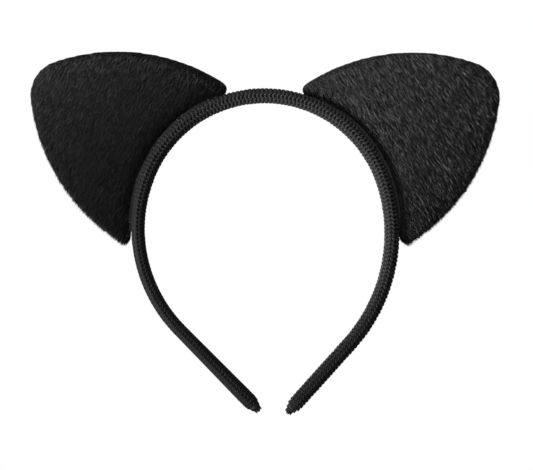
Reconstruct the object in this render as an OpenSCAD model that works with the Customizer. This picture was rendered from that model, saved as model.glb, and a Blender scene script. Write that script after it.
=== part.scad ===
// Headband with a pair of padded animal ears.
// A springy strip is wrapped in wadding and pulled into a knitted tube. Two flat, furry ears
// stand on the outside of the hoop, each glued and tacked along its curved foot.
// X runs across the head, Y from the front of the band to the back, and Z up.
// The origin is on the inner face of the hoop, at the middle of the crown.

/* [Hoop] */
// Inner radius of the hoop over the crown
crown_radius = 57; // [47:0.5:68]
// Angle of the crown arc on each side of the middle
crown_sweep = 72; // [64:1:76]
// Inner radius of the left arm below the crown arc
left_lower_radius = 67; // [58:1:84]
// Inner radius of the right arm below the crown arc
right_lower_radius = 76; // [58:1:84]
// Angle that the left arm's lower arc covers
left_sweep = 62.5; // [50:0.5:66]
// Angle that the right arm's lower arc covers
right_sweep = 60; // [50:0.5:63]
// Straight run at the end of the left arm, before its tip
left_end_run = 43; // [30:0.5:50]
// Straight run at the end of the right arm, before its tip
right_end_run = 33.5; // [24:0.5:42]

/* [Band section] */
// Thickness of the covered band, from the head side to the outside
band_t = 6.4; // [5.2:0.1:8]
// Depth of the covered band, from front to back
band_d = 9; // [8.8:0.1:12]
// Wall of the knitted sleeve
sleeve_wall = 0.8; // [0.5:0.05:1.2]
// Thickness of the spring strip
strip_t = 1.8; // [1.2:0.1:2.4]
// Depth of the spring strip
strip_d = 5.6; // [4:0.1:6.4]
// Rounding of the spring strip's edges
strip_corner = 0.5; // [0.2:0.05:0.55]
// Running clearance between neighbouring layers
layer_gap = 0.05; // [0.02:0.01:0.1]

/* [Tips] */
// Length over which the closed end of the sleeve narrows to its point
tip_length = 11; // [8:0.5:14]
// Radius of the blunt point at the very end
tip_point_r = 1.3; // [0.8:0.1:2]
// How far the spring strip stops short of the closed end
strip_setback = 3; // [2:0.5:8]
// Radius of the gathering thread
thread_r = 0.3; // [0.2:0.05:0.4]
// Radius of the knot on the point of each tip
knot_r = 1.1; // [0.6:0.1:1.8]

/* [Flex] */
// Distance of each flex pivot from the middle of the crown
flex_offset = 9; // [7:0.5:12]
// Clearance round each arm's rounded root
flex_gap = 0.4; // [0.3:0.05:0.8]

/* [Ears] */
// Tilt of each ear's centreline above the horizontal
ear_angle = 32.3; // [26:0.1:38]
// Height of the ear from the band to its tip
ear_height = 66.4; // [50:0.2:84]
// Greatest width of the ear, near its foot
ear_width = 90.6; // [74:0.2:96]
// Radius of the ear's long sides
ear_side_radius = 94.3; // [80:0.1:120]
// Radius of the ear's rounded tip
ear_tip_radius = 16; // [12:0.5:20]
// Rounding of the two corners at the ear's foot
ear_corner_radius = 2.6; // [1.6:0.1:3.4]
// Thickness of the whole ear
ear_t = 7; // [5.8:0.2:8.6]
// Wall of the furry front and back panels
panel_wall = 1; // [0.8:0.05:1.4]
// Thickness of the stiff sheet behind the foam
stiffener_t = 0.8; // [0.5:0.1:1.2]
// How far the stiff sheet stops short of the panels' inner edge
stiffener_margin = 4; // [2:0.5:8]
// Width of the roll along the ear's edge, where each panel steps down
edge_roll = 1.2; // [0.8:0.1:1.6]

/* [Ear fastening] */
// Thickness of the glue line between the band and the ear's foot
glue_t = 0.4; // [0.2:0.05:0.8]
// How far the glue line stops short of each side of the band's flat outer face
glue_margin = 0.1; // [0:0.05:0.2]
// Tack stitches along each face of the foot
tack_count = 5; // [3:1:7]
// How deep each tack stitch bites into the band and into the panel
tack_bite = 0.7; // [0.5:0.05:0.9]

/* [Hidden] */
$fn = 96;

// Hoop: the centreline runs down the middle of the band's thickness.
half_t = band_t / 2;
rise = (band_d - band_t) / 2;
crown_centre = [0, -crown_radius];
crown_end = 90 - crown_sweep;
flex_angle = asin(flex_offset / (crown_radius + half_t));
root_angle = 90 - flex_angle;
overrun = 6;
lap = 0.4;
lap_angle = 0.4;
lap_slim = 0.02;

// Closed end of the sleeve: a cone that is wider than the band where it starts.
cone_base = band_d * 0.58;
gather = tip_length * 0.72;
function cone_r(s) = cone_base + (tip_point_r - cone_base) * s / tip_length;

// Foot of the ear: it follows the outside of the band, past the glue line.
foot_gap = band_t + glue_t;
ear_axis = [cos(ear_angle), sin(ear_angle)];
ear_across = [-sin(ear_angle), cos(ear_angle)];
tip_centre = crown_centre + (crown_radius + band_t + ear_height - ear_tip_radius) * ear_axis;
side_set = ear_side_radius - ear_width / 2;
side_back = sqrt(pow(ear_side_radius - ear_tip_radius, 2) - side_set * side_set);
upper_side_centre = tip_centre - side_back * ear_axis - side_set * ear_across;
lower_side_centre = tip_centre - side_back * ear_axis + side_set * ear_across;
side_step = 3;
corner_step = 15;
foot_strip_t = panel_wall;
foot_strip_margin = 3;
foot_strip_half = ear_t / 2 - panel_wall - edge_roll - layer_gap;
seam_depth = 0.6;
seam_inset = 0.1;
tack_margin = 7;
sheet_y = ear_t / 2 - panel_wall - layer_gap;

// Points and angles in the plane of the hoop, with X across and Z up.
function polar(centre, r, a) = centre + r * [cos(a), sin(a)];
function arc_on(centre, r, a0, a1, step) =
    let (n = max(2, ceil(abs(a1 - a0) / step)))
    [for (i = [1:n]) polar(centre, r, a0 + (a1 - a0) * i / n)];
function arc(centre, r, a0, a1, step) =
    concat([polar(centre, r, a0)], arc_on(centre, r, a0, a1, step));
function bearing(from, to) = atan2(to[1] - from[1], to[0] - from[0]);
function onward(a, b) = b >= a ? b : b + 360;
function meeting(a, ra, b, rb, side) =
    let (d = norm(b - a), along = (d * d + ra * ra - rb * rb) / (2 * d),
         e = (b - a) / d)
    a + along * e + side * sqrt(ra * ra - along * along) * [-e[1], e[0]];
function lower_centre(lower_r) = polar(crown_centre, crown_radius - lower_r, crown_end);

// Centres of the two corner roundings of an ear's foot.
function corner_radius(inset) = max(ear_corner_radius, inset + layer_gap);
function upper_corner(inset) =
    let (r = corner_radius(inset))
    meeting(crown_centre, crown_radius + foot_gap + r, upper_side_centre, ear_side_radius - r, 1);
function lower_corner(lower_r, inset) =
    let (r = corner_radius(inset))
    meeting(lower_centre(lower_r), lower_r + foot_gap + r, lower_side_centre, ear_side_radius - r, -1);

// Outline of an ear, drawn inside its true edge by the inset. Each arc leaves out its first point,
// which the arc before it ends on.
function ear_outline(lower_r, inset) =
    let (r = corner_radius(inset) - inset,
         upper = upper_corner(inset), lower = lower_corner(lower_r, inset),
         low_centre = lower_centre(lower_r),
         side_r = ear_side_radius - inset,
         tip_low = bearing(lower_side_centre, tip_centre),
         tip_high = bearing(upper_side_centre, tip_centre),
         upper_side = bearing(upper_side_centre, upper),
         lower_side = bearing(lower_side_centre, lower),
         upper_foot = bearing(crown_centre, upper),
         lower_foot = bearing(low_centre, lower))
    concat(
        arc_on(tip_centre, ear_tip_radius - inset, tip_low, tip_high, side_step),
        arc_on(upper_side_centre, side_r, tip_high, upper_side, side_step),
        arc_on(upper, r, upper_side, upper_foot + 180, corner_step),
        arc_on(crown_centre, crown_radius + foot_gap + inset, upper_foot, crown_end, side_step),
        arc_on(low_centre, lower_r + foot_gap + inset, crown_end, lower_foot, side_step),
        arc_on(lower, r, lower_foot + 180, onward(lower_foot + 180, lower_side), corner_step),
        arc_on(lower_side_centre, side_r, lower_side, tip_low, side_step));

// Angles of the foot's ends, a given distance in from the corner roundings.
function foot_top(margin) =
    bearing(crown_centre, upper_corner(0)) - margin / crown_radius * 180 / PI;
function foot_bottom(lower_r, margin) =
    bearing(lower_centre(lower_r), lower_corner(lower_r, 0)) + margin / lower_r * 180 / PI;

// A strip along the foot, between two distances outside the hoop's inner face.
function foot_band(lower_r, near, far, margin) =
    let (top = foot_top(margin), bottom = foot_bottom(lower_r, margin), low = lower_centre(lower_r))
    concat(
        arc(crown_centre, crown_radius + far, top, crown_end, side_step),
        arc_on(low, lower_r + far, crown_end, bottom, side_step),
        arc(low, lower_r + near, bottom, crown_end, side_step),
        arc_on(crown_centre, crown_radius + near, crown_end, top, side_step));

// Stands a flat drawing up in the plane of the hoop and gives it depth from y0 to y1.
module upright(y0, y1)
    translate([0, y1, 0]) rotate([90, 0, 0]) linear_extrude(y1 - y0) children();

// Stands a drawing up about the crown's centre, with X along the radius at an angle.
module hoop_frame(a)
    translate([0, 0, -crown_radius]) rotate([90, 0, 0]) rotate([0, 0, a]) children();

// Sweeps a section round the hoop frame's centre, from angle a0 to a1.
module swept(r, a0, a1)
    rotate_extrude(angle = a1 - a0, start = a0) translate([r, 0]) children();

// Places children where an arm's lower arc ends, with Z down the arm.
module arm_frame(lower_r, sweep)
    hoop_frame(crown_end) translate([crown_radius - lower_r, 0, 0]) rotate([0, 0, -sweep])
        translate([lower_r + half_t, 0, 0]) rotate([90, 0, 0]) children();

// A round bar through the right-hand flex pivot, from front to back.
module pivot_bar(r)
    hoop_frame(root_angle) translate([crown_radius + half_t, 0, 0])
        cylinder(r = r, h = band_d + 2, center = true);

// A section swept along the crown piece, which stops short of both pivots.
module along_crown() {
    $slim = 0;
    difference() {
        hoop_frame(90) swept(crown_radius + half_t, -flex_angle, flex_angle) children();
        pivot_bar(half_t + flex_gap);
        mirror([1, 0, 0]) pivot_bar(half_t + flex_gap);
    }
}

// What is cut away round an arm's root, to leave it rounded about the pivot.
module root_waste()
    difference() {
        hoop_frame(root_angle) translate([crown_radius - band_t, 0, -band_d])
            cube([3 * band_t, 2 * band_t, 2 * band_d]);
        pivot_bar(half_t - lap_slim);
    }

// A section swept along an arm: part of the crown, the lower arc and the straight run.
// Each stretch is a hair slimmer than the one before and starts inside it, so the three make one solid.
module along_arm(lower_r, sweep, run) {
    difference() {
        hoop_frame(0) swept(crown_radius + half_t, crown_end, root_angle + overrun) {
            $slim = 0;
            children();
        }
        root_waste();
    }
    hoop_frame(crown_end) translate([crown_radius - lower_r, 0, 0])
        swept(lower_r + half_t, -sweep, lap_angle) {
            $slim = lap_slim;
            children();
        }
    arm_frame(lower_r, sweep) translate([0, 0, -lap]) linear_extrude(run + lap) {
        $slim = 2 * lap_slim;
        children();
    }
}

// Section of the covered band, drawn inside its surface by the inset.
module band_section(inset) {
    square([band_t - 2 * inset, 2 * rise], center = true);
    for (y = [-rise, rise]) translate([0, y]) circle(r = half_t - inset);
}

// Section of the spring strip, grown by the given clearance.
module strip_section(grow) {
    t = strip_t + 2 * grow;
    d = strip_d + 2 * grow;
    r = strip_corner + grow;
    square([t - 2 * r, d], center = true);
    square([t, d - 2 * r], center = true);
    for (x = [-1, 1], y = [-1, 1]) translate([x * (t / 2 - r), y * (d / 2 - r)]) circle(r = r);
}

module sleeve_section()
    difference() {
        band_section($slim);
        band_section(sleeve_wall - $slim);
    }

module wadding_section()
    difference() {
        band_section(sleeve_wall + layer_gap + $slim);
        strip_section(layer_gap + $slim);
    }

// Closed end of the sleeve, narrowing to a blunt point. Its foot is a plug inside the tube.
module tip_cone()
    intersection() {
        translate([0, 0, -lap]) linear_extrude(tip_length + lap) band_section(3 * lap_slim);
        translate([0, 0, -2 * lap])
            cylinder(r1 = cone_r(-2 * lap), r2 = tip_point_r, h = tip_length + 2 * lap);
    }

module strip_arm(lower_r, sweep, run)
    along_arm(lower_r, sweep, run - strip_setback) strip_section(-$slim);

// The wadding closes over the end of the strip.
module wadding_arm(lower_r, sweep, run) {
    strip_end = run - strip_setback + layer_gap;
    along_arm(lower_r, sweep, strip_end + lap) wadding_section();
    arm_frame(lower_r, sweep) translate([0, 0, strip_end])
        linear_extrude(strip_setback - lap - 2 * layer_gap)
            band_section(sleeve_wall + layer_gap + 3 * lap_slim);
}

module sleeve_arm(lower_r, sweep, run) {
    along_arm(lower_r, sweep, run) sleeve_section();
    arm_frame(lower_r, sweep) translate([0, 0, run]) tip_cone();
}

// A gathering thread drawn tight round the closed end, and its knot on the point.
module end_stitches(lower_r, sweep, run)
    arm_frame(lower_r, sweep) translate([0, 0, run]) {
        rotate_extrude() translate([cone_r(gather), gather]) circle(r = thread_r);
        translate([0, 0, tip_length - knot_r / 2]) sphere(r = knot_r);
    }

// Every ear module draws the right ear; the left ear is its mirror with its own lower radius.
module ear_body(lower_r, inset, y0, y1) upright(y0, y1) polygon(ear_outline(lower_r, inset));

module foot_slab(lower_r, near, far, margin, half_w)
    upright(-half_w, half_w) polygon(foot_band(lower_r, near, far, margin));

module ear_front_panel(lower_r)
    difference() {
        union() {
            ear_body(lower_r, 0, -ear_t / 2 + edge_roll, 0);
            ear_body(lower_r, edge_roll, -ear_t / 2, 0);
        }
        ear_body(lower_r, panel_wall + edge_roll, -ear_t / 2 + panel_wall, 1);
        ear_body(lower_r, panel_wall, -ear_t / 2 + panel_wall + edge_roll, 1);
        ear_seam_groove(lower_r);
        foot_slab(lower_r, foot_gap - 1, foot_gap + foot_strip_t + layer_gap,
                  foot_strip_margin - layer_gap, ear_t / 2 - panel_wall - edge_roll);
    }

module ear_back_panel(lower_r) mirror([0, 1, 0]) ear_front_panel(lower_r);

module ear_seam_groove(lower_r)
    difference() {
        ear_body(lower_r, -1, -seam_depth / 2 - layer_gap, seam_depth / 2 + layer_gap);
        ear_body(lower_r, seam_inset + seam_depth + layer_gap, -seam_depth, seam_depth);
    }

module ear_seam_thread(lower_r)
    difference() {
        ear_body(lower_r, seam_inset, -seam_depth / 2, seam_depth / 2);
        ear_body(lower_r, seam_inset + seam_depth, -seam_depth, seam_depth);
        foot_slab(lower_r, foot_gap - 1, foot_gap + foot_strip_t + 2 * layer_gap, 1, seam_depth);
    }

// Foam fills the front of the ear, and a stiff sheet lies behind it.
module ear_foam_pad(lower_r) {
    ear_body(lower_r, panel_wall + edge_roll + layer_gap, -sheet_y, sheet_y - stiffener_t - layer_gap);
    ear_body(lower_r, panel_wall + layer_gap, -sheet_y + edge_roll, sheet_y - edge_roll - layer_gap);
}

module ear_stiffener(lower_r)
    ear_body(lower_r, panel_wall + stiffener_margin, sheet_y - stiffener_t, sheet_y);

module ear_foot_strip(lower_r)
    foot_slab(lower_r, foot_gap, foot_gap + foot_strip_t, foot_strip_margin, foot_strip_half);

module ear_glue_bead(lower_r)
    foot_slab(lower_r, band_t + layer_gap, foot_gap, foot_strip_margin,
              min(rise - glue_margin, foot_strip_half));

// Short stitches that cross from the band into the ear's panels, on both faces.
module ear_tack_stitches(lower_r) {
    top = foot_top(tack_margin);
    bottom = foot_bottom(lower_r, tack_margin);
    y = ear_t / 2 - panel_wall - edge_roll + thread_r + 2 * layer_gap;
    drop = half_t - sqrt(half_t * half_t - pow(y - rise, 2));
    for (i = [0:tack_count - 1], face = [-1, 1]) {
        a = top + (bottom - top) * i / (tack_count - 1);
        on_crown = a >= crown_end;
        centre = on_crown ? crown_centre : lower_centre(lower_r);
        foot_r = (on_crown ? crown_radius : lower_r) + band_t;
        start = polar(centre, foot_r - drop - tack_bite, a);
        translate([start[0], face * y, start[1]]) rotate([0, 90 - a, 0])
            cylinder(r = thread_r, h = drop + glue_t + 2 * tack_bite, $fn = 24);
    }
}

module left() mirror([1, 0, 0]) children();

// The pieces. The hoop's parts come first, then the ears'.
module band_strip_crown() color("gainsboro") along_crown() strip_section(-$slim);
module band_strip_left() color("gainsboro") left() strip_arm(left_lower_radius, left_sweep, left_end_run);
module band_strip_right() color("gainsboro") strip_arm(right_lower_radius, right_sweep, right_end_run);

module band_wadding_crown() color("dimgray") along_crown() wadding_section();
module band_wadding_left() color("dimgray") left() wadding_arm(left_lower_radius, left_sweep, left_end_run);
module band_wadding_right() color("dimgray") wadding_arm(right_lower_radius, right_sweep, right_end_run);

module knit_sleeve_crown() color([0.09, 0.09, 0.1]) along_crown() sleeve_section();
module knit_sleeve_left()
    color([0.09, 0.09, 0.1]) left() sleeve_arm(left_lower_radius, left_sweep, left_end_run);
module knit_sleeve_right()
    color([0.09, 0.09, 0.1]) sleeve_arm(right_lower_radius, right_sweep, right_end_run);

module left_end_stitches()
    color([0.2, 0.2, 0.21]) left() end_stitches(left_lower_radius, left_sweep, left_end_run);
module right_end_stitches()
    color([0.2, 0.2, 0.21]) end_stitches(right_lower_radius, right_sweep, right_end_run);

module left_ear_front_panel() color([0.13, 0.13, 0.14]) left() ear_front_panel(left_lower_radius);
module right_ear_front_panel() color([0.13, 0.13, 0.14]) ear_front_panel(right_lower_radius);

module left_ear_back_panel() color([0.12, 0.12, 0.13]) left() ear_back_panel(left_lower_radius);
module right_ear_back_panel() color([0.12, 0.12, 0.13]) ear_back_panel(right_lower_radius);

module left_ear_foam_pad() color("darkgray") left() ear_foam_pad(left_lower_radius);
module right_ear_foam_pad() color("darkgray") ear_foam_pad(right_lower_radius);

module left_ear_stiffener() color("whitesmoke") left() ear_stiffener(left_lower_radius);
module right_ear_stiffener() color("whitesmoke") ear_stiffener(right_lower_radius);

module left_ear_seam_thread() color([0.2, 0.2, 0.21]) left() ear_seam_thread(left_lower_radius);
module right_ear_seam_thread() color([0.2, 0.2, 0.21]) ear_seam_thread(right_lower_radius);

module left_ear_foot_strip() color([0.16, 0.16, 0.17]) left() ear_foot_strip(left_lower_radius);
module right_ear_foot_strip() color([0.16, 0.16, 0.17]) ear_foot_strip(right_lower_radius);

module left_ear_glue_bead() color([0.08, 0.08, 0.08]) left() ear_glue_bead(left_lower_radius);
module right_ear_glue_bead() color([0.08, 0.08, 0.08]) ear_glue_bead(right_lower_radius);

module left_ear_tack_stitches() color([0.2, 0.2, 0.21]) left() ear_tack_stitches(left_lower_radius);
module right_ear_tack_stitches() color([0.2, 0.2, 0.21]) ear_tack_stitches(right_lower_radius);

band_strip_crown();
band_strip_left();
band_strip_right();
band_wadding_crown();
band_wadding_left();
band_wadding_right();
knit_sleeve_crown();
knit_sleeve_left();
knit_sleeve_right();
left_end_stitches();
right_end_stitches();
left_ear_front_panel();
right_ear_front_panel();
left_ear_back_panel();
right_ear_back_panel();
left_ear_foam_pad();
right_ear_foam_pad();
left_ear_stiffener();
right_ear_stiffener();
left_ear_seam_thread();
right_ear_seam_thread();
left_ear_foot_strip();
right_ear_foot_strip();
left_ear_glue_bead();
right_ear_glue_bead();
left_ear_tack_stitches();
right_ear_tack_stitches();
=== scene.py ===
# %% [markdown]
# # An animal ears headband
# A sprung hoop in a black knitted sleeve carries two flat, padded ears of short black fur.
# The measured design is already packed: it gives the hoop's strip, its wadding, the sleeve, and
# for each ear two furry panels, a foam pad, a stiff sheet, a taped foot, glue and stitches.
# This lesson adds what the design can't hold: the knitted stitches, the swell of the padded
# ears, their nap, the sewing thread, and a finish for every piece.

# %% Load the frame
import math
import random

import bmesh
import bpy
import numpy as np
from mathutils import Matrix, Vector


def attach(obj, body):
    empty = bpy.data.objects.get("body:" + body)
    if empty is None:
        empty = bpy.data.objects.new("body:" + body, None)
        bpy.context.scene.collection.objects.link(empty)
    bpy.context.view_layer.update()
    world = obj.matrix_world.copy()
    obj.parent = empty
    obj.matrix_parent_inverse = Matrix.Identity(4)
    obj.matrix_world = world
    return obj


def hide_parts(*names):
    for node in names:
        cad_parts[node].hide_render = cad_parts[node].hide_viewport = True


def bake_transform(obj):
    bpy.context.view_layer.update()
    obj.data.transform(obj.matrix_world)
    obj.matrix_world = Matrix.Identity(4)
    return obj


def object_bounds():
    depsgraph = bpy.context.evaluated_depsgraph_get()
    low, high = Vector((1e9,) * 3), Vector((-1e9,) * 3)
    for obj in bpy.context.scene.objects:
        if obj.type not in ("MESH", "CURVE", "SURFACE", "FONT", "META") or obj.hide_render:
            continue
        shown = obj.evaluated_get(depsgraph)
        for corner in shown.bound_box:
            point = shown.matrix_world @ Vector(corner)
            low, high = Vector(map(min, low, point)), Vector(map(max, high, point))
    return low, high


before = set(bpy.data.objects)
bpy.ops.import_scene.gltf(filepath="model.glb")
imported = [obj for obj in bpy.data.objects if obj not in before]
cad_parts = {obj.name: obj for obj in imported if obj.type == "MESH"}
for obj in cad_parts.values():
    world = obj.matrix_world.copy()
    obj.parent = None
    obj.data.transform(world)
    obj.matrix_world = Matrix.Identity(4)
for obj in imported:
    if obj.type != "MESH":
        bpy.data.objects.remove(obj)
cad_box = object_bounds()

MM = 0.001

# %% [markdown]
# ## Camera, light and floor
# The camera looks straight at the front, along +Y, with a long lens, which keeps the two ears
# the same size. Black cloth only shows its texture when light skims over it. So the main light
# stands far to the left and just in front of the hoop: it lights the left-hand side of every
# rib and hair, and the band throws a thin shadow on the foot of the right ear. A weak, wide
# light from the front keeps the shadows readable, and one from behind shows the back.

# %% Camera
VIEW_W = 255.8 * MM
LENS, SENSOR = 100.0, 36.0
VIEW_CENTRE = Vector((0.96 * MM, 0.0, -63.6 * MM))

camera_data = bpy.data.cameras.new("camera")
camera_data.lens = LENS
camera_data.sensor_width = SENSOR
camera = bpy.data.objects.new("camera", camera_data)
bpy.context.scene.collection.objects.link(camera)
camera.location = VIEW_CENTRE - Vector((0, VIEW_W * LENS / SENSOR, 0))
camera.rotation_euler = (math.radians(90), 0, 0)
bpy.context.scene.camera = camera
print("camera stands", round(-camera.location.y, 3), "m away")


# %% Lights
def area_light(name, place, target, size, watts):
    data = bpy.data.lights.new(name, "AREA")
    data.shape = "DISK"
    data.size = size
    data.energy = watts
    light = bpy.data.objects.new(name, data)
    bpy.context.scene.collection.objects.link(light)
    light.location = place
    aim = Vector(target) - Vector(place)
    light.rotation_euler = aim.to_track_quat("-Z", "Y").to_euler()
    return light


area_light("key", (-0.80, -0.27, -0.30), (0, 0, -0.03), 0.18, 14.0)
area_light("top", (-0.25, -0.30, 0.66), (0, 0, -0.05), 0.25, 4.5)
area_light("front_fill", (0.25, -1.2, 0.35), (0, 0, -0.06), 0.9, 1.2)
area_light("back", (-0.35, 1.0, 0.15), (0, 0, -0.05), 0.4, 7.0)

# %% [markdown]
# The world is white where the camera sees it and dim for everything else, so the backdrop is
# pale but doesn't wash out the black cloth. The floor is a pale disc well under the tips.

# %% World and floor
WORLD_FILL = 0.10
FLOOR_R, FLOOR_DROP = 0.38, 0.10
FLOOR_PAINT = (0.95, 0.95, 0.95, 1)

world = bpy.data.worlds.new("studio")
bpy.context.scene.world = world
world.use_nodes = True
world_nodes = world.node_tree.nodes
world_links = world.node_tree.links
backdrop = world_nodes["Background"]
backdrop.inputs["Color"].default_value = (1, 1, 1, 1)
seen_by = world_nodes.new("ShaderNodeLightPath")
strength = world_nodes.new("ShaderNodeMapRange")
strength.inputs["To Min"].default_value = WORLD_FILL
strength.inputs["To Max"].default_value = 1.0
world_links.new(seen_by.outputs["Is Camera Ray"], strength.inputs["Value"])
world_links.new(strength.outputs["Result"], backdrop.inputs["Strength"])
bpy.context.scene.view_settings.view_transform = "Standard"

floor_shape = bmesh.new()
bmesh.ops.create_circle(floor_shape, cap_ends=True, segments=96, radius=FLOOR_R)
bmesh.ops.translate(floor_shape, verts=floor_shape.verts,
                    vec=(0, 0, cad_box[0][2] - FLOOR_DROP))
floor_mesh = bpy.data.meshes.new("floor")
floor_shape.to_mesh(floor_mesh)
floor_shape.free()
floor = bpy.data.objects.new("floor", floor_mesh)
bpy.context.scene.collection.objects.link(floor)
paint = bpy.data.materials.new("pale_floor")
paint.use_nodes = True
paint.node_tree.nodes["Principled BSDF"].inputs["Base Color"].default_value = FLOOR_PAINT
floor.data.materials.append(paint)
print("floor lies", FLOOR_DROP, "m under the tips")

# %% [markdown]
# ## Writing materials as expressions
# A node tree is easier to read when its maths looks like maths. `Value` wraps one number
# socket, so `1 - tone * 0.5` adds the Math nodes by itself. `Finish` is one material: its
# `add` method makes any other node from a type, its settings and its inputs.


# %% Shader helpers
def feed(tree, socket, value):
    if isinstance(value, Value):
        value = value.socket
    if isinstance(value, bpy.types.NodeSocket):
        tree.links.new(value, socket)
    else:
        socket.default_value = value


def add_node(tree, kind, settings=None, inputs=None):
    node = tree.nodes.new(kind)
    for name, value in (settings or {}).items():
        if name != "ramp":
            setattr(node, name, value)
            continue
        stops = node.color_ramp.elements
        while len(stops) < len(value):
            stops.new(1.0)
        for stop, (place, shade) in zip(stops, value):
            stop.position = place
            stop.color = (*shade, 1)
    for name, value in (inputs or {}).items():
        feed(tree, node.inputs[name], value)
    return node


class Value:
    def __init__(self, finish, socket):
        self.finish = finish
        self.socket = socket

    def math(self, operation, a, b):
        node = self.finish.add("ShaderNodeMath", {"operation": operation}, {0: a, 1: b})
        return Value(self.finish, node.outputs[0])

    def through(self, operation):
        return self.math(operation, self, 0.0)

    def __add__(self, other):
        return self.math("ADD", self, other)

    def __radd__(self, other):
        return self.math("ADD", other, self)

    def __sub__(self, other):
        return self.math("SUBTRACT", self, other)

    def __rsub__(self, other):
        return self.math("SUBTRACT", other, self)

    def __mul__(self, other):
        return self.math("MULTIPLY", self, other)

    def __rmul__(self, other):
        return self.math("MULTIPLY", other, self)


class Finish:
    def __init__(self, name, roughness, sheen=0.0, specular=0.5):
        self.material = bpy.data.materials.new(name)
        self.material.use_nodes = True
        self.tree = self.material.node_tree
        self.shader = self.tree.nodes["Principled BSDF"]
        self.set(Roughness=roughness, Specular_IOR_Level=specular)
        self.shader.inputs["Sheen Weight"].default_value = sheen
        self.shader.inputs["Sheen Roughness"].default_value = 0.5

    def set(self, **sockets):
        for name, value in sockets.items():
            feed(self.tree, self.shader.inputs[name.replace("_", " ")], value)

    def add(self, kind, settings=None, inputs=None):
        return add_node(self.tree, kind, settings, inputs)

    def noise(self, where, scale, detail=3.0, stretch=(1, 1, 1)):
        mapping = self.add("ShaderNodeMapping", None, {"Vector": where, "Scale": stretch})
        node = self.add("ShaderNodeTexNoise", None,
                        {"Vector": mapping.outputs[0], "Scale": scale, "Detail": detail})
        return Value(self, node.outputs[0])

    def shades(self, value, *stops):
        return self.add("ShaderNodeValToRGB", {"ramp": stops}, {0: value}).outputs[0]

    def bump(self, height, distance, strength=1.0):
        node = self.add("ShaderNodeBump", None,
                        {"Height": height, "Distance": distance, "Strength": strength})
        self.set(Normal=node.outputs[0])

    def place(self):
        return self.add("ShaderNodeTexCoord").outputs["Object"]


print("shader helpers ready")

# %% [markdown]
# ## The knitted sleeve: one course, repeated
# The band is covered with a narrow tube of stockinette. Each stitch is a V of two legs, the Vs
# stand in columns that run along the band, and each round of stitches is a course. A bump
# pattern would leave the outline smooth, so the legs are real shapes: one leg is a small
# stretched ball, and 24 of them leaning left and right round the band's rounded section make
# one course. That course is built once and repeated every 1.92 mm from the crown to the tip.

# %% Sizes of the hoop
CROWN_CENTRE = Vector((0, 0, -57 * MM))
CROWN_R = 60.2 * MM
CROWN_SWEEP = math.radians(72)
LOWER_SWEEP = {"right": math.radians(60), "left": math.radians(62.5)}
LOWER_R = {"right": 79.2 * MM, "left": 70.2 * MM}
END_RUN = {"right": 33.5 * MM, "left": 43.0 * MM}
SIGN = {"right": 1, "left": -1}
TIP = 11.0 * MM
HALF_T = 3.2 * MM
HALF_FLAT = 1.3 * MM
CONE_R, TIP_R = 5.22 * MM, 1.3 * MM
DEPTH_AXIS = Vector((0, 1, 0))


def radius_to(side, angle):
    return Vector((SIGN[side] * math.sin(angle), 0, math.cos(angle)))


def lower_centre(side):
    return CROWN_CENTRE + radius_to(side, CROWN_SWEEP) * (CROWN_R - LOWER_R[side])


def stretches(side):
    return CROWN_R * CROWN_SWEEP, LOWER_R[side] * LOWER_SWEEP[side], END_RUN[side] + TIP


def band_place(side, run):
    """The frame of the band's section at a run from the crown: X outwards, Y back, Z along."""
    crown, lower, _ = stretches(side)
    if run < crown:
        angle = run / CROWN_R
        middle = CROWN_CENTRE + radius_to(side, angle) * CROWN_R
    else:
        angle = CROWN_SWEEP + min(run - crown, lower) / LOWER_R[side]
        middle = lower_centre(side) + radius_to(side, angle) * LOWER_R[side]
    out = radius_to(side, angle)
    along = out.cross(DEPTH_AXIS)
    middle = middle - along * SIGN[side] * max(0, run - crown - lower)
    turn = Matrix((out, DEPTH_AXIS, along)).transposed().to_4x4()
    return Matrix.Translation(middle) @ turn


# The left arm is slimmer in its lower half: shares of the band's thickness at runs in mm.
SLIM = {"right": ((0, 200), (1.0, 1.0)), "left": ((75, 100, 170, 195), (1.0, 0.88, 0.88, 1.0))}


def tip_scale(side, run):
    """How slim the section is and how far it has closed to a point, across and in depth."""
    past = (run - (sum(stretches(side)) - TIP)) / TIP
    if past <= 0:
        return float(np.interp(run / MM, *SLIM[side])), 1.0
    radius = CONE_R + (TIP_R - CONE_R) * past
    return min(1.0, radius / HALF_T), min(1.0, radius / (HALF_T + HALF_FLAT))


for side in SIGN:
    print(side, "half of the band is", round(sum(stretches(side)) / MM, 1), "mm long")

# %% One course of stitches
WALES = 12
COURSE = 1.92 * MM
LEG = Vector((0.52, 0.60, 1.25)) * MM
LEG_LEAN = math.radians(50)
LEG_RISE = math.radians(22)
STITCH_LINE = HALF_T - 0.27 * MM
BACKING_RISE = 0.2 * MM
STAGGER = 0.3
TONES = 16


def round_section(share, radius):
    """A point on the rounded section and the way it faces, at a share of the way round."""
    flat, bend = 2 * HALF_FLAT, math.pi * radius
    way = (share % 1.0) * 2 * (flat + bend)
    half, way = divmod(way, flat + bend)
    turned = math.pi * half
    if way < flat:
        spot, facing = Vector((radius, way - HALF_FLAT, 0)), 0.0
    else:
        facing = (way - flat) / radius
        spot = Vector((radius * math.cos(facing), HALF_FLAT + radius * math.sin(facing), 0))
    return Matrix.Rotation(turned, 4, "Z") @ spot, turned + facing


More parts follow.
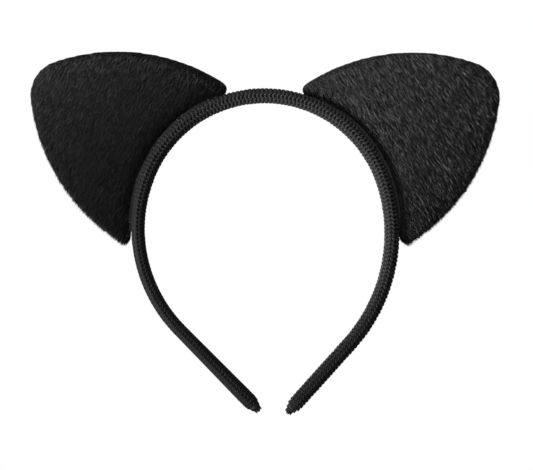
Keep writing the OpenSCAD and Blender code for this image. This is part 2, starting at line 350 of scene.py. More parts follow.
def stitch_leg(shape, number):
    spot, facing = round_section((number + 0.5) / (2 * WALES), STITCH_LINE)
    spot.z = COURSE * STAGGER * (number // 2 % 2)
    lean = LEG_LEAN if number % 2 else -LEG_LEAN
    place = (Matrix.Translation(spot) @ Matrix.Rotation(facing, 4, "Z")
             @ Matrix.Rotation(lean, 4, "X") @ Matrix.Rotation(-LEG_RISE, 4, "Y")
             @ Matrix.Diagonal((*LEG, 1)))
    bmesh.ops.create_uvsphere(shape, u_segments=6, v_segments=5, radius=1, matrix=place,
                              calc_uvs=True)


course = bmesh.new()
course.loops.layers.uv.new("OFBake")
for number in range(2 * WALES):
    stitch_leg(course, number)
course_mesh = bpy.data.meshes.new("course")
course.to_mesh(course_mesh)
course.free()
LEG_CORNERS = len(course_mesh.loops) // (2 * WALES)
print("one course has", len(course_mesh.polygons), "faces")

# %% The two halves of the sleeve
draw = random.Random(7)
# Painted light along the band: the yarn is painted greyest at the crown and blackest at the
# tips, as the light falls along the hoop: shares of the full tone at runs from the crown, in mm.
PAINTED_LIGHT_ALONG_BAND = {"right": ((0, 60, 120, 150, 200), (1.2, 1.2, 0.75, 0.42, 0.0)),
             "left": ((0, 30, 70, 200), (1.0, 0.64, 0.32, 0.2))}
# Painted light and shade round the band: lighter on the hoop's inside, darker on its outside.
INSIDE_PAINTED_LIGHT = 0.4
TONE_SCATTER = 1.7


def yarn_tone(side, run, number):
    """One leg's tone: painted light along the band and round it, and scattered from leg to leg."""
    facing = round_section((number + 0.5) / (2 * WALES), STITCH_LINE)[1]
    share = float(np.interp(run / MM, *PAINTED_LIGHT_ALONG_BAND[side]))
    share *= 1 - INSIDE_PAINTED_LIGHT * math.cos(facing)
    return min(TONES - 2, max(0, round(draw.gauss(share * (TONES - 2), TONE_SCATTER))))


def backing_tube(shape, side):
    """The inside of the knit behind the stitches, its colour painted shade in the gaps between
    them.
    """
    ring = bmesh.ops.create_circle(shape, segments=28, radius=STITCH_LINE + BACKING_RISE)["verts"]
    for v in ring:
        v.co.y += math.copysign(HALF_FLAT, v.co.y) if abs(v.co.y) > 1e-7 else 0
    bmesh.ops.transform(shape, verts=ring, matrix=band_place(side, 0))
    geom = ring + [e for e in shape.edges if e.is_wire]
    turns = ((CROWN_CENTRE, CROWN_SWEEP, 36), (lower_centre(side), LOWER_SWEEP[side], 30))
    for centre, sweep, steps in turns:
        geom = bmesh.ops.spin(shape, geom=geom, cent=centre, axis=DEPTH_AXIS,
                              angle=SIGN[side] * sweep, steps=steps)["geom_last"]
    end = sum(stretches(side))
    stops = [end - TIP * share for share in (1.0, 0.75, 0.5, 0.25, 0.08)]
    before = end - TIP - END_RUN[side]
    for stop in stops:
        edges = [g for g in geom if isinstance(g, bmesh.types.BMEdge)]
        geom = bmesh.ops.extrude_edge_only(shape, edges=edges)["geom"]
        geom = [g for g in geom if not isinstance(g, bmesh.types.BMFace)]
        verts = [g for g in geom if isinstance(g, bmesh.types.BMVert)]
        bmesh.ops.transform(shape, verts=verts, matrix=band_place(side, before).inverted())
        was, now = tip_scale(side, before), tip_scale(side, stop)
        bmesh.ops.scale(shape, verts=verts, vec=(now[0] / was[0], now[1] / was[1], 1))
        bmesh.ops.transform(shape, verts=verts, matrix=band_place(side, stop))
        before = stop
    bmesh.ops.contextual_create(shape, geom=[g for g in geom if isinstance(g, bmesh.types.BMEdge)])
    bmesh.ops.recalc_face_normals(shape, faces=shape.faces)


def knit_half(side):
    shape = bmesh.new()
    skin = shape.loops.layers.uv.new("OFBake")
    backing_tube(shape, side)
    # The backing takes the last strip of the map, which the yarn finish paints in the darkest
    # shade.
    for face in shape.faces:
        for corner in face.loops:
            corner[skin].uv = ((TONES - 0.5) / TONES, 0.5)
    start = len([corner for face in shape.faces for corner in face.loops])
    end = sum(stretches(side))
    courses = int(end / COURSE)
    for number in range(courses):
        run = (number + 0.5) * end / courses
        across, deep = tip_scale(side, run)
        wobble = Matrix.Diagonal((across * draw.uniform(0.985, 1.015),
                                  deep * draw.uniform(0.985, 1.015), 1, 1))
        shift = Matrix.Translation((0, 0, draw.uniform(-0.05, 0.05) * MM))
        place = band_place(side, run) @ shift @ wobble
        course_mesh.transform(place)
        shape.from_mesh(course_mesh)
        course_mesh.transform(place.inverted())
    mesh = bpy.data.meshes.new("knit_" + side)
    shape.to_mesh(mesh)
    shape.free()
    corners = mesh.uv_layers["OFBake"].data
    for number in range(start, len(corners)):
        leg, first = divmod(number - start, LEG_CORNERS)
        if first == 0:
            course_number, leg_number = divmod(leg, 2 * WALES)
            tone = yarn_tone(side, (course_number + 0.5) * end / courses, leg_number)
        u, v = corners[number].uv
        corners[number].uv = ((tone + 0.1 + 0.8 * u) / TONES, 0.04 + 0.92 * v)
    mesh.polygons.foreach_set("use_smooth", [True] * len(mesh.polygons))
    knit = bpy.data.objects.new("knit_" + side, mesh)
    bpy.context.scene.collection.objects.link(knit)
    print(knit.name, courses, "courses", len(mesh.polygons), "faces")
    return knit


knit = {side: knit_half(side) for side in SIGN}

# %% [markdown]
# The sleeve runs over the place where the sprung arms start to bend. Each half keeps the
# shape it was built in, and the designed sleeve pieces are hidden.

# %% Put the sleeve in place of the designed one
for side, half in knit.items():
    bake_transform(half)
    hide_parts("knit_sleeve_" + side)
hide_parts("knit_sleeve_crown")

# %% [markdown]
# ## Yarn
# The stitches' own map gives each leg one of 15 tones across and runs from 0 to 1 along the
# leg. The tone carries the painted light along and round the band, and makes neighbouring
# stitches differ a little, as worn yarn does. A slanting wave across the map turns into the
# ply twist of the yarn, and each leg is painted darker towards its ends, as shade where the
# legs meet. The last strip of the map belongs to the backing between the stitches, painted in
# the darkest shade.

# %% Yarn finish
yarn = Finish("black_yarn", roughness=0.7, sheen=0.0, specular=0.14)
stitch_map = yarn.add("ShaderNodeSeparateXYZ", None,
                      {0: yarn.add("ShaderNodeUVMap", {"uv_map": "OFBake"}).outputs[0]})
strip = Value(yarn, stitch_map.outputs[0]) * TONES
leg_way = Value(yarn, stitch_map.outputs[1])
across = strip.through("FRACT")
tone = strip.through("FLOOR")
# The backing's strip gets the darkest colour: painted shade in the gaps between the stitches.
backing = strip.math("GREATER_THAN", strip, TONES - 1.0)
twist = (across * 6.2832 + leg_way * 26.0).through("SINE")
# Painted shade: each leg is darker towards its ends, where the legs meet; the same bell fades the
# twist's bump.
leg_middle = (leg_way * 3.1416).through("SINE")
light_part = leg_middle * (0.12 + tone * 0.062 + twist * 0.07) * (1 - backing)
yarn.set(Base_Color=yarn.shades(light_part, (0.0, (0.0065, 0.0065, 0.0068)),
                                (0.45, (0.0165, 0.0165, 0.017)), (1.0, (0.048, 0.048, 0.05))))
yarn.bump(twist * leg_middle, 0.12 * MM, 0.8)
for half in knit.values():
    half.data.materials.append(yarn.material)
print("yarn finish on", len(knit), "halves")

# %% [markdown]
# ## The padded ears
# Each ear is two furry panels sewn edge to edge over foam. Cut cloth over foam swells in the
# middle and pulls in at its seam, which a block with round edges never shows. So the pad
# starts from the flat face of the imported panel, made thin, is remeshed into even squares and
# blown up as cloth for twenty frames. A cap keeps each point near the design. The result is
# then cut along the seam into a front and a back cover.

# %% A pad from the panel's flat face
PAD_HALF = 2.2 * MM
PAD_VOXEL = 1.3 * MM
PAD_GROW = Vector((1.4, 0.35, 1.4)) * MM
# Each ear is cut a little fuller on one side.
FULLER = {"right": Vector((0.75, 0, -0.66)), "left": Vector((0.35, 0, 0.93))}
FULLER_BY = {"right": 1.0 * MM, "left": 0.6 * MM}
FOOT_ROLL = 9.0 * MM
FOOT_THIN = 0.35


def collect(name, mesh):
    piece = bpy.data.objects.new(name, mesh)
    bpy.context.scene.collection.objects.link(piece)
    return piece


def settle(piece):
    """Puts the result of the piece's modifiers into its mesh."""
    graph = bpy.context.evaluated_depsgraph_get()
    mesh = bpy.data.meshes.new_from_object(piece.evaluated_get(graph))
    piece.modifiers.clear()
    piece.data = mesh
    return piece


def thin_pad(side):
    shape = bmesh.new()
    shape.from_mesh(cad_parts[side + "_ear_front_panel"].data)
    bmesh.ops.remove_doubles(shape, verts=shape.verts, dist=0.002 * MM)
    front = min(v.co.y for v in shape.verts)
    rest = [f for f in shape.faces if max(v.co.y for v in f.verts) > front + 0.01 * MM]
    bmesh.ops.delete(shape, geom=rest, context="FACES")
    bmesh.ops.translate(shape, verts=shape.verts, vec=(0, -PAD_HALF - front, 0))
    grown = bmesh.ops.extrude_face_region(shape, geom=shape.faces[:])["geom"]
    far_side = [g for g in grown if isinstance(g, bmesh.types.BMVert)]
    bmesh.ops.translate(shape, verts=far_side, vec=(0, 2 * PAD_HALF, 0))
    bmesh.ops.recalc_face_normals(shape, faces=shape.faces)
    mesh = bpy.data.meshes.new(side + "_pad")
    shape.to_mesh(mesh)
    shape.free()
    pad = collect(side + "_pad", mesh)
    remesh = pad.modifiers.new("even_squares", "REMESH")
    remesh.mode = "VOXEL"
    remesh.voxel_size = PAD_VOXEL
    settle(pad)
    round_off(pad, side)
    print(pad.name, len(pad.data.polygons), "faces")
    return pad


def past_arc(spots, centre, radius):
    return np.hypot(spots[:, 0] - centre.x, spots[:, 2] - centre.z) - radius - HALF_T


def above_band(side, spots):
    """How far each point stands outside the band's outer face."""
    angle = np.arctan2(SIGN[side] * spots[:, 0], spots[:, 2] - CROWN_CENTRE.z)
    past = np.where(angle < CROWN_SWEEP, past_arc(spots, CROWN_CENTRE, CROWN_R),
                    past_arc(spots, lower_centre(side), LOWER_R[side]))
    return np.maximum(0, past)


def round_off(pad, side):
    shape = bmesh.new()
    shape.from_mesh(pad.data)
    for _ in range(3):
        bmesh.ops.smooth_vert(shape, verts=shape.verts, factor=0.5,
                              use_axis_x=True, use_axis_y=True, use_axis_z=True)
    shape.normal_update()
    for v in shape.verts:
        v.co += Vector(n * g for n, g in zip(v.normal, PAD_GROW))
        v.co += v.normal * max(0, v.normal.dot(FULLER[side])) ** 2 * FULLER_BY[side]
    over = above_band(side, np.array([v.co for v in shape.verts]))
    for v, share in zip(shape.verts, np.minimum(1, over / FOOT_ROLL) ** 0.7):
        v.co.y *= FOOT_THIN + (1 - FOOT_THIN) * share
    shape.to_mesh(pad.data)
    shape.free()


# %% Blow the pads up
SWELL_CAP = 1.3 * MM
SPREAD_CAP = 0.25 * MM
SWELL_FRAMES = 20


def points(mesh):
    flat = np.zeros(len(mesh.vertices) * 3)
    mesh.vertices.foreach_get("co", flat)
    return flat.reshape(-1, 3)


def swell(pads):
    for pad in pads:
        cloth = pad.modifiers.new("cloth", "CLOTH")
        cloth.settings.quality = 6
        cloth.settings.use_pressure = True
        cloth.settings.uniform_pressure_force = 4.0
        cloth.settings.effector_weights.gravity = 0
        cloth.point_cache.frame_end = SWELL_FRAMES
    for frame_number in range(1, SWELL_FRAMES + 1):
        bpy.context.scene.frame_set(frame_number)
    for pad in pads:
        before = points(pad.data)
        graph = bpy.context.evaluated_depsgraph_get()
        after = points(pad.evaluated_get(graph).data)
        pad.modifiers.clear()
        move = after - before
        cap = np.array([SPREAD_CAP, SWELL_CAP, SPREAD_CAP])
        move = move * cap / (cap + np.abs(move))
        pad.data.vertices.foreach_set("co", (before + move).ravel())
        pad.data.update()
        print(pad.name, "swelled by", round(float(np.abs(move[:, 1]).max()) / MM, 2), "mm")
    bpy.context.scene.frame_set(1)


pads = {side: thin_pad(side) for side in SIGN}
swell(pads.values())

# %% Front and back covers
SEAM_PULL = 0.5 * MM
COVER_WALL = 0.7 * MM
SEAM_CUTS = (0.45 * MM, 1.0 * MM)
FOAM_EASE = 0.15 * MM
FOAM_BACK = 1.6 * MM


def cover(pad, side, face):
    """One panel of the ear: the half of the pad before or behind the seam."""
    shape = bmesh.new()
    shape.from_mesh(pad.data)
    towards = -1 if face == "front" else 1
    for depth in SEAM_CUTS:
        bmesh.ops.bisect_plane(shape, geom=shape.verts[:] + shape.edges[:] + shape.faces[:],
                               plane_co=(0, towards * depth, 0), plane_no=DEPTH_AXIS)
    bmesh.ops.bisect_plane(shape, geom=shape.verts[:] + shape.edges[:] + shape.faces[:],
                           plane_co=(0, 0, 0), plane_no=(0, -towards, 0), clear_outer=True)
    shape.normal_update()
    for v in [v for v in shape.verts if v.is_boundary]:
        v.co -= Vector((v.normal.x, 0, v.normal.z)).normalized() * SEAM_PULL
        v.co.y = towards * 0.04 * MM
    mesh = bpy.data.meshes.new("cover")
    shape.to_mesh(mesh)
    shape.free()
    mesh.polygons.foreach_set("use_smooth", [True] * len(mesh.polygons))
    piece = collect(f"{side}_ear_{face}_cover", mesh)
    wall = piece.modifiers.new("wall", "SOLIDIFY")
    wall.thickness = COVER_WALL
    wall.offset = -1
    settle(piece)
    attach(piece, side + "_arm")
    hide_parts(f"{side}_ear_{face}_panel")
    return piece


def foam_core(pad, side):
    """The foam inside the covers: the pad drawn in, and flat behind, where the sheet lies."""
    shape = bmesh.new()
    shape.from_mesh(pad.data)
    shape.normal_update()
    for v in shape.verts:
        v.co -= v.normal * (COVER_WALL + FOAM_EASE)
        v.co.y = min(v.co.y, FOAM_BACK)
    mesh = bpy.data.meshes.new("foam")
    shape.to_mesh(mesh)
    shape.free()
    core = collect(side + "_ear_foam_core", mesh)
    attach(core, side + "_arm")
    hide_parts(side + "_ear_foam_pad")
    return core


cores = {side: foam_core(pad, side) for side, pad in pads.items()}
covers = {}
for side, pad in pads.items():
    finer = pad.modifiers.new("finer", "SUBSURF")
    finer.levels = finer.render_levels = 1
    settle(pad)
    for face in ("front", "back"):
        covers[side, face] = cover(pad, side, face)
print(len(covers), "covers of", [len(piece.data.polygons) for piece in covers.values()], "faces")

# %% [markdown]
# ## The nap
# The ears are covered in short black fur, about 3 mm long, combed flat. A texture can't give
# its broken outline or the way it turns bright or dark with the comb, so the nap is real:
# slim closed spikes of four faces, scattered over each cover in two coats. Geometry nodes
# scatter them from a fixed seed, lay each along the comb with a slight lift, and shorten them
# where the cover turns over its edge. The two ears are combed towards their own lower outer
# corner.

# %% One fibre
FIBRE_LENGTH = 3.0 * MM
FIBRE_R = 0.15 * MM

fibre_shape = bmesh.new()
fibre_map = fibre_shape.loops.layers.uv.new("OFBake")
bmesh.ops.create_cone(fibre_shape, segments=3, radius1=FIBRE_R, radius2=0, depth=FIBRE_LENGTH,
                      cap_ends=True, cap_tris=True,
                      matrix=Matrix.Translation((0, 0, FIBRE_LENGTH / 2)))
bmesh.ops.remove_doubles(fibre_shape, verts=fibre_shape.verts, dist=FIBRE_R / 10)
for face in fibre_shape.faces:
    for number, corner in enumerate(face.loops):
        corner[fibre_map].uv = (0.004 * number, corner.vert.co.z / FIBRE_LENGTH)
fibre_mesh = bpy.data.meshes.new("fibre")
fibre_shape.to_mesh(fibre_mesh)
fibre_shape.free()
fibre = bpy.data.objects.new("fibre", fibre_mesh)
print("a fibre has", len(fibre_mesh.polygons), "faces")

# %% Sizes of the nap
COMB = {"right": Vector((0.52, 0, -0.85)), "left": Vector((-0.42, 0, -0.9))}
FIBRES_PER_MM2 = 4.3
# Two coats on each cover: how long their fibres are, as shares of the full length.
COATS = {"under_nap": (0.6, 1.1), "over_nap": (0.65, 1.2)}
FIBRE_LIFT = 0.24
TUFT_HEIGHT = {"right": 1.4 * MM, "left": 0.7 * MM}
# Set per ear as painted light and shade: the right ear's streaks, the fur's own tone, are
# painted stronger and its rim painted darker, as shade where the cover turns over its edge;
# the left ear's streaks are faint, and its rim is hardly darker.
STREAKS = {"right": 1.3, "left": 0.55}
RIM_PAINTED_SHADE = {"right": 0.3, "left": 0.08}
LOCK_SCALE, LOCK_SWING = 170.0, 0.42
STRAY = 0.17
STREAKS_ACROSS, STREAKS_ALONG = 2400, 210
TONE_OF_ONE = 0.2
# How a cover's facing (from, to) shortens its fibres (from, to), as sockets of Map Range.
EDGE_TO_LENGTH = {1: 0.3, 2: 0.95, 3: 0.22, 4: 1.0}


def vector(tree, operation, *inputs, out=0):
    node = add_node(tree, "ShaderNodeVectorMath", {"operation": operation},
                    dict(enumerate(inputs)))
    return node.outputs[out]


def reckon(tree, operation, *inputs):
    return add_node(tree, "ShaderNodeMath", {"operation": operation},
                    dict(enumerate(inputs))).outputs[0]


def scaled(tree, way, scale):
    result = vector(tree, "SCALE", way)
    feed(tree, result.node.inputs["Scale"], scale)
    return result


def scatter(tree, low, high, seed):
    return add_node(tree, "FunctionNodeRandomValue", {"data_type": "FLOAT"},
                    {2: low, 3: high, "Seed": seed}).outputs[1]


def scatter_way(tree, size, seed):
    return add_node(tree, "FunctionNodeRandomValue", {"data_type": "FLOAT_VECTOR"},
                    {0: (-size,) * 3, 1: (size,) * 3, "Seed": seed}).outputs[0]


print("nap sizes and helpers ready")

# %% [markdown]
# The comb is three small recipes. The first gives the way each fibre lies: along the comb, with
# neighbours swinging together in locks a few millimetres wide, laid flat on the cover and
# lifted a little. The second gives its tone, which changes quickly across the comb and slowly
# along it, and paints shade on the rim. The third puts them together and stands the lighter
# streaks higher as tufts.


# %% Way and tone of a fibre
def lay_of(tree, side, seed, place, up, shorter):
    swing = add_node(tree, "ShaderNodeTexNoise", None,
                     {"Vector": place, "Scale": LOCK_SCALE, "Detail": 3.0}).outputs["Color"]
    swing = scaled(tree, vector(tree, "SUBTRACT", swing, (0.5, 0.5, 0.5)), LOCK_SWING)
    stray = scatter_way(tree, STRAY, seed + 1)
    lay = vector(tree, "ADD", vector(tree, "ADD", swing, stray), COMB[side].normalized())
    lay = vector(tree, "SUBTRACT", lay, vector(tree, "PROJECT", lay, up))
    lift = scaled(tree, up, reckon(tree, "MULTIPLY", shorter, FIBRE_LIFT))
    return vector(tree, "NORMALIZE", vector(tree, "ADD", vector(tree, "NORMALIZE", lay), lift))


def streak_of(tree, side, place):
    combed = COMB[side].normalized()
    across = combed.cross(DEPTH_AXIS)
    streak = add_node(tree, "ShaderNodeCombineXYZ", None,
                      {0: vector(tree, "DOT_PRODUCT", place, across * STREAKS_ACROSS, out=1),
                       1: vector(tree, "DOT_PRODUCT", place, combed * STREAKS_ALONG, out=1)})
    return add_node(tree, "ShaderNodeTexNoise", None,
                    {"Vector": streak.outputs[0], "Scale": 1.0, "Detail": 2.0}).outputs[0]


def tone_of(tree, side, seed, streak, shorter):
    tone = reckon(tree, "ADD", streak, scatter(tree, -TONE_OF_ONE, TONE_OF_ONE, seed + 4))
    strong, rim_painted_shade = STREAKS[side], RIM_PAINTED_SHADE[side]
    tone = reckon(tree, "MULTIPLY_ADD", tone, strong, 0.5 * (1 - strong))
    # The rim, where the cover turns over its edge, is painted darker as shade.
    rim = reckon(tree, "MULTIPLY_ADD", shorter, rim_painted_shade, -rim_painted_shade)
    return reckon(tree, "ADD", tone, rim)


# %% Comb the nap
def comb_tree(side, seed, grown_to):
    tree = bpy.data.node_groups.new("comb_" + side, "GeometryNodeTree")
    tree.interface.new_socket("Geometry", in_out="INPUT", socket_type="NodeSocketGeometry")
    tree.interface.new_socket("Geometry", in_out="OUTPUT", socket_type="NodeSocketGeometry")
    cloth = tree.nodes.new("NodeGroupInput").outputs[0]
    roots = add_node(tree, "GeometryNodeDistributePointsOnFaces", None,
                     {"Mesh": cloth, "Density": FIBRES_PER_MM2 / MM ** 2, "Seed": seed})
    up = roots.outputs["Normal"]
    place = tree.nodes.new("GeometryNodeInputPosition").outputs[0]
    # Fibres on the rolled edge, which faces sideways, are short and lie closer.
    facing = add_node(tree, "ShaderNodeSeparateXYZ", None, {0: up}).outputs[1]
    shorter = add_node(tree, "ShaderNodeMapRange", None,
                       {0: reckon(tree, "ABSOLUTE", facing), **EDGE_TO_LENGTH}).outputs[0]
    lay = lay_of(tree, side, seed, place, up, shorter)
    turn = add_node(tree, "FunctionNodeAxesToRotation",
                    {"primary_axis": "Z", "secondary_axis": "X"},
                    {0: lay, 1: scatter_way(tree, 1, seed + 2)}).outputs[0]
    growth = scatter(tree, *grown_to, seed + 3)
    length = reckon(tree, "MULTIPLY", shorter, growth)
    size = add_node(tree, "ShaderNodeCombineXYZ", None, {0: growth, 1: growth, 2: length})
    streak = streak_of(tree, side, place)
    height = reckon(tree, "MULTIPLY_ADD", streak, TUFT_HEIGHT[side], -0.55 * TUFT_HEIGHT[side])
    heave = scaled(tree, up, reckon(tree, "MULTIPLY", height, shorter))
    raised = add_node(tree, "GeometryNodeSetPosition", None,
                      {"Geometry": roots.outputs["Points"], "Offset": heave}).outputs[0]
    marked = add_node(tree, "GeometryNodeStoreNamedAttribute",
                      {"data_type": "FLOAT", "domain": "POINT"},
                      {"Geometry": raised, "Name": "tone",
                       "Value": tone_of(tree, side, seed, streak, shorter)})
    spike = add_node(tree, "GeometryNodeObjectInfo", None, {"Object": fibre})
    grown = add_node(tree, "GeometryNodeInstanceOnPoints", None,
                     {"Points": marked.outputs[0], "Rotation": turn, "Scale": size.outputs[0],
                      "Instance": spike.outputs["Geometry"]})
    real = add_node(tree, "GeometryNodeRealizeInstances", None, {0: grown.outputs[0]})
    feed(tree, tree.nodes.new("NodeGroupOutput").inputs[0], real.outputs[0])
    return tree


# Painted shade and light on the fur: painted darkest beside the band, and its tone painted
# rising slowly towards the upper left.
FOOT_PAINTED_SHADE, FOOT_REACH = 0.22, 8.0 * MM
PAINTED_LIGHT_RISE, RISE_SPAN = 0.13, 40.0 * MM
RISE_WAY = (-0.6, 0.0, 0.8)
RISE_FROM = {"right": -62.0 * MM, "left": 20.0 * MM}


def painted_light_and_shade_of_place(side, spots):
    """How much painted shade beside the band and painted light towards the upper left the fur gets
    at each point.
    """
    near_foot = 1 - np.minimum(1, above_band(side, spots) / FOOT_REACH)
    way = spots @ np.array(RISE_WAY)
    return PAINTED_LIGHT_RISE * (way - RISE_FROM[side]) / RISE_SPAN - FOOT_PAINTED_SHADE * near_foot


def nap(side, face, coat, seed):
    outer = bmesh.new()
    outer.from_mesh(pads[side].data)
    towards = -1 if face == "front" else 1
    bmesh.ops.bisect_plane(outer, geom=outer.verts[:] + outer.edges[:] + outer.faces[:],
                           plane_co=(0, towards * 0.3 * MM, 0), plane_no=(0, -towards, 0),
                           clear_outer=True)
    mesh = bpy.data.meshes.new("nap")
    outer.to_mesh(mesh)
    outer.free()
    fur = collect(f"{side}_ear_{face}_{coat}", mesh)
    comb = fur.modifiers.new("comb", "NODES")
    comb.node_group = comb_tree(side, seed, COATS[coat])
    settle(fur)
    tones = np.zeros(len(fur.data.vertices))
    fur.data.attributes["tone"].data.foreach_get("value", tones)
    # Adds the painted shade beside the band and the painted light towards the upper left.
    tones += painted_light_and_shade_of_place(side, points(fur.data))
    corners = np.zeros(len(fur.data.loops), int)
    fur.data.loops.foreach_get("vertex_index", corners)
    bake_map = fur.data.uv_layers["OFBake"].data
    flat = np.zeros(len(bake_map) * 2)
    bake_map.foreach_get("uv", flat)
    flat[0::2] += np.clip(tones[corners], 0, 0.98)
    bake_map.foreach_set("uv", flat)
    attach(fur, side + "_arm")
    return fur


naps = {}
for number, (side, face) in enumerate(covers):
    for coat_number, coat in enumerate(COATS):
        seed = 10 * (2 * number + coat_number) + 1
        naps[side, face, coat] = nap(side, face, coat, seed)
bpy.data.objects.remove(fibre)
print("fibres:", [len(fur.data.polygons) // 4 for fur in naps.values()])

# %% [markdown]
# ## Overcast seam
# The two panels are sewn edge to edge by hand: the thread goes over the seam, through both
# panels and over again, so a row of short slanting stitches runs round the rim. Each stitch is
# a small stretched ball across the seam. The rim itself gives the path: the pad is cut at its
# middle plane, and the cut's edges are walked in order.

# %% Walk round the rim
STITCH_STEP = 1.7 * MM
STITCH = Vector((0.2, 0.2, 1.35)) * MM
STITCH_SLANT = math.radians(32)
STITCH_SINK = 0.35 * MM
FOOT_CLEAR = 1.8 * MM


def rim(side):
    """The points of the pad's outline in its middle plane, in order."""
    shape = bmesh.new()
    shape.from_mesh(pads[side].data)
    bmesh.ops.bisect_plane(shape, geom=shape.verts[:] + shape.edges[:] + shape.faces[:],
                           plane_co=(0, 0, 0), plane_no=DEPTH_AXIS, clear_outer=True)
    ring = [next(v for v in shape.verts if v.is_boundary)]
    walked = set(ring)
    while True:
        onward = [e.other_vert(ring[-1]) for e in ring[-1].link_edges if e.is_boundary]
        onward = [v for v in onward if v not in walked]
        if not onward:
            break
        ring.append(onward[0])
        walked.add(onward[0])
    spots = np.array([v.co for v in ring])
    shape.free()
    area = np.cross(spots[:, [0, 2]], np.roll(spots[:, [0, 2]], -1, axis=0)).sum()
    return spots if area < 0 else spots[::-1]


def seam_stitches(side):
    spots = rim(side)
    spots = np.vstack((spots, spots[:1]))
    run = np.concatenate(([0], np.cumsum(np.linalg.norm(np.diff(spots, axis=0), axis=1))))
    count = round(run[-1] / STITCH_STEP)
    marks = np.arange(count + 1) * run[-1] / count
    path = np.stack([np.interp(marks, run, spots[:, axis]) for axis in range(3)], axis=1)
    clear = above_band(side, path) > FOOT_CLEAR
    shape = bmesh.new()
    for number in range(count):
        if not clear[number]:
            continue
        along = Vector(path[number + 1] - path[number]).normalized()
        out = along.cross(DEPTH_AXIS)
        turn = Matrix((out, along, DEPTH_AXIS)).transposed().to_4x4()
        place = (Matrix.Translation(Vector(path[number]) - out * STITCH_SINK) @ turn
                 @ Matrix.Rotation(STITCH_SLANT, 4, "X") @ Matrix.Diagonal((*STITCH, 1)))
        bmesh.ops.create_uvsphere(shape, u_segments=6, v_segments=5, radius=1, matrix=place)
    mesh = bpy.data.meshes.new("seam")
    shape.to_mesh(mesh)
    shape.free()
    mesh.polygons.foreach_set("use_smooth", [True] * len(mesh.polygons))
    seam = collect(side + "_ear_overcast_seam", mesh)
    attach(seam, side + "_arm")
    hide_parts(side + "_ear_seam_thread")
    print(seam.name, int(clear[:-1].sum()), "stitches")
    return seam


seams = {side: seam_stitches(side) for side in SIGN}
for pad in pads.values():
    bpy.data.objects.remove(pad)

# %% [markdown]
# ## Fur finish
# The fibres' map holds the streak's tone, with the painted shade and light laid on it, across
# and the way from root to tip up. The root is near black, because light doesn't reach it, and
# the tip is a little lighter. The cover under the nap is the same black, with the grain of its
# tufts.

# %% Pile and cover
pile = Finish("black_pile", roughness=0.42, specular=0.26)
fibre_way = pile.add("ShaderNodeSeparateXYZ", None,
                     {0: pile.add("ShaderNodeUVMap", {"uv_map": "OFBake"}).outputs[0]})
streak_tone_and_painted_light = Value(pile, fibre_way.outputs[0])
tip_way = Value(pile, fibre_way.outputs[1])
shade = (streak_tone_and_painted_light - 0.29) * 2.05 * (0.3 + tip_way * 0.7)
pile.set(Base_Color=pile.shades(shade, (0.0, (0.003, 0.003, 0.0031)),
                                (0.5, (0.018, 0.018, 0.0186)), (1.0, (0.15, 0.15, 0.154))))

cover_cloth = Finish("tufted_cover", roughness=0.85, sheen=0.2)
tufts = cover_cloth.noise(cover_cloth.place(), 900.0, 2.0, (1, 1, 0.35))
cover_cloth.set(Base_Color=cover_cloth.shades(tufts, (0.3, (0.002, 0.002, 0.0022)),
                                              (0.7, (0.012, 0.012, 0.013))))
cover_cloth.bump(tufts, 0.3 * MM, 0.9)
for fur in naps.values():
    fur.data.materials.clear()
    fur.data.materials.append(pile.material)
for piece in covers.values():
    piece.data.materials.append(cover_cloth.material)
print("pile on", len(naps), "naps")

# %% [markdown]
# ## The parts inside
# The strip, the wadding, the tape, the glue and the threads keep their designed shapes and only
# need a finish. Each is a pattern on object coordinates, in metres, so a scale of 1000 gives
# grain about a millimetre wide. Cloudy grain does for wadding, felt, plastic and glue. Foam
# has round cells, tape has a plain weave, and thread has the slanting ply of its twist.


# %% Grainy finishes
def grainy(name, scale, dark, light, roughness, depth, stretch=(1, 1, 1), sheen=0.0):
    finish = Finish(name, roughness, sheen)
    grain = finish.noise(finish.place(), scale, 4.0, stretch)
    finish.set(Base_Color=finish.shades(grain, (0.3, dark), (0.7, light)))
    finish.bump(grain, depth, 0.8)
    return finish.material


def axis_values(finish):
    parts = finish.add("ShaderNodeSeparateXYZ", None, {0: finish.place()})
    return [Value(finish, socket) for socket in parts.outputs]


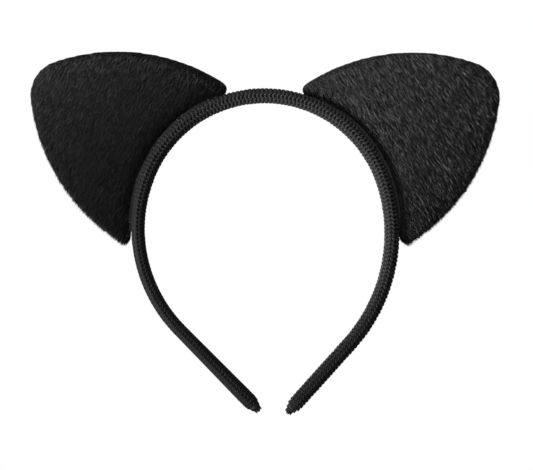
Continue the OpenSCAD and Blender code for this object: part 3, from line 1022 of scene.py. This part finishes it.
wadding = grainy("black_wadding", 1300.0, (0.006, 0.006, 0.007), (0.034, 0.034, 0.036),
                 0.95, 0.25 * MM, (1, 1, 0.3), 0.3)
felt = grainy("pressed_felt", 1700.0, (0.55, 0.55, 0.53), (0.78, 0.78, 0.76),
              0.93, 0.12 * MM, (1, 1, 0.5), 0.2)
plastic = grainy("spring_plastic", 240.0, (0.56, 0.56, 0.54), (0.66, 0.66, 0.64),
                 0.36, 0.02 * MM, (1, 4, 1))
glue = grainy("black_hot_melt", 520.0, (0.006, 0.006, 0.0065), (0.02, 0.02, 0.021),
              0.24, 0.2 * MM)
print("grainy finishes ready")

# %% Foam, tape and thread
foam = Finish("grey_foam", 0.9)
cells = foam.add("ShaderNodeTexVoronoi", None, {"Vector": foam.place(), "Scale": 1600.0})
cell = Value(foam, cells.outputs["Distance"])
foam.set(Base_Color=foam.shades(cell, (0.05, (0.06, 0.06, 0.063)), (0.6, (0.24, 0.24, 0.245))))
foam.bump(cell, 0.25 * MM, 0.9)

tape = Finish("woven_tape", 0.85, 0.15)
x, y, z = axis_values(tape)
weave = ((x + z) * 5200.0).through("SINE") * ((y * 5200.0).through("SINE"))
tape.set(Base_Color=tape.shades(weave * 0.5 + 0.5, (0.1, (0.006, 0.006, 0.007)),
                                (0.9, (0.028, 0.028, 0.03))))
tape.bump(weave, 0.1 * MM, 0.8)

thread = Finish("sewing_thread", 0.55, 0.0, 0.3)
x, y, z = axis_values(thread)
ply = ((x + z) * 7000.0 + y * 9000.0).through("SINE") * 0.5 + 0.5
thread.set(Base_Color=thread.shades(ply, (0.0, (0.008, 0.008, 0.0085)),
                                    (1.0, (0.045, 0.045, 0.047))))
thread.bump(ply, 0.06 * MM, 0.8)

# %% Dress the designed parts
INNER = {"band_strip": plastic, "band_wadding": wadding, "stiffener": felt,
         "foot_strip": tape.material, "glue_bead": glue, "tack_stitches": thread.material,
         "end_stitches": thread.material}
dressed = []
for name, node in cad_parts.items():
    for part, material in INNER.items():
        if part in name:
            for slot in node.material_slots:
                slot.material = material
            dressed.append(name)
for core in cores.values():
    core.data.materials.append(foam.material)
for seam in seams.values():
    seam.data.materials.append(thread.material)
print(len(dressed), "designed parts dressed, slots",
      [len(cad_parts[name].material_slots) for name in dressed][:3])
